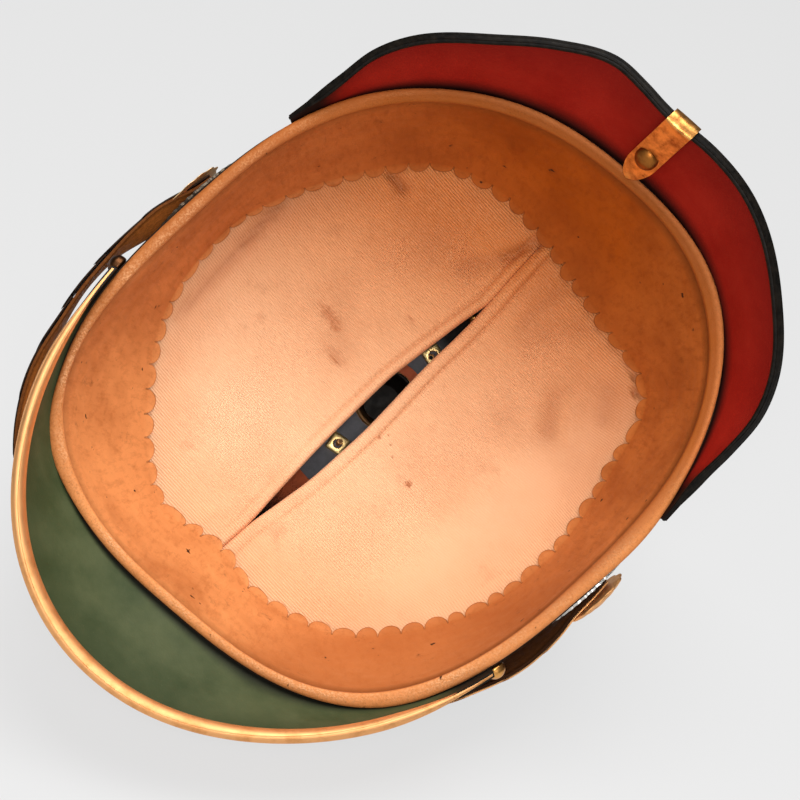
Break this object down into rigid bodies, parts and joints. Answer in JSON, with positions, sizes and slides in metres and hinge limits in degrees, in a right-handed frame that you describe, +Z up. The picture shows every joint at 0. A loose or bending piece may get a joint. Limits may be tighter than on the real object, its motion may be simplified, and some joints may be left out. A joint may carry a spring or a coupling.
{
  "type": "pickelhaube",
  "caption": "Spiked black leather helmet with brass fittings, edged visors, tan sweatband, silk lining and scaled chin strap, lying upturned on its front.",
  "frame": {"origin": "on the surface that it lies on, under the middle of its box", "axes": "-Y the way that the opening looks as it lies, +X level across it toward the wearer's right rear, +Z up"},
  "size_m": [0.2512, 0.2886, 0.2465],
  "materials": {
    "black_leather": "lacquered, scuffed",
    "green_leather": "stained, satin",
    "red_leather": "stained, satin",
    "tan_leather": "worn, soft",
    "brown_leather": "worn",
    "peach_silk": "ribbed silk",
    "grey_felt": "dark felt",
    "brass": "polished",
    "aged_brass": "tarnished",
    "silver": "bright, worn"
  },
  "bodies": {
    "root": {"shell": "black_leather", "crown_disc": "grey_felt", "spike_base": "brass", "spike_collar": "brass", "spike": "brass", "base_stud_front": "brass", "base_stud_left": "brass", "base_stud_rear": "brass", "base_stud_right": "brass", "base_nut_front": "aged_brass", "base_nut_left": "aged_brass", "base_nut_rear": "aged_brass", "base_nut_right": "aged_brass", "front_visor": "green_leather", "rear_visor": "red_leather", "front_visor_trim": "brass", "rear_visor_binding": "black_leather", "visor_rivet_left": "aged_brass", "visor_rivet_right": "aged_brass", "rear_spine": "aged_brass", "spine_stud": "aged_brass", "spine_nut": "silver", "spine_rivet": "aged_brass", "sweatband": "tan_leather", "lining_left": "peach_silk", "lining_right": "peach_silk", "front_plate": "brass", "front_plate_boss": "brass", "chin_strap": "brown_leather", "chin_scales_left": "brass", "chin_scales_right": "brass", "cockade_left": "silver", "cockade_right": "silver", "rosette_left": "brass", "rosette_right": "brass"}
  },
  "joints": []
}
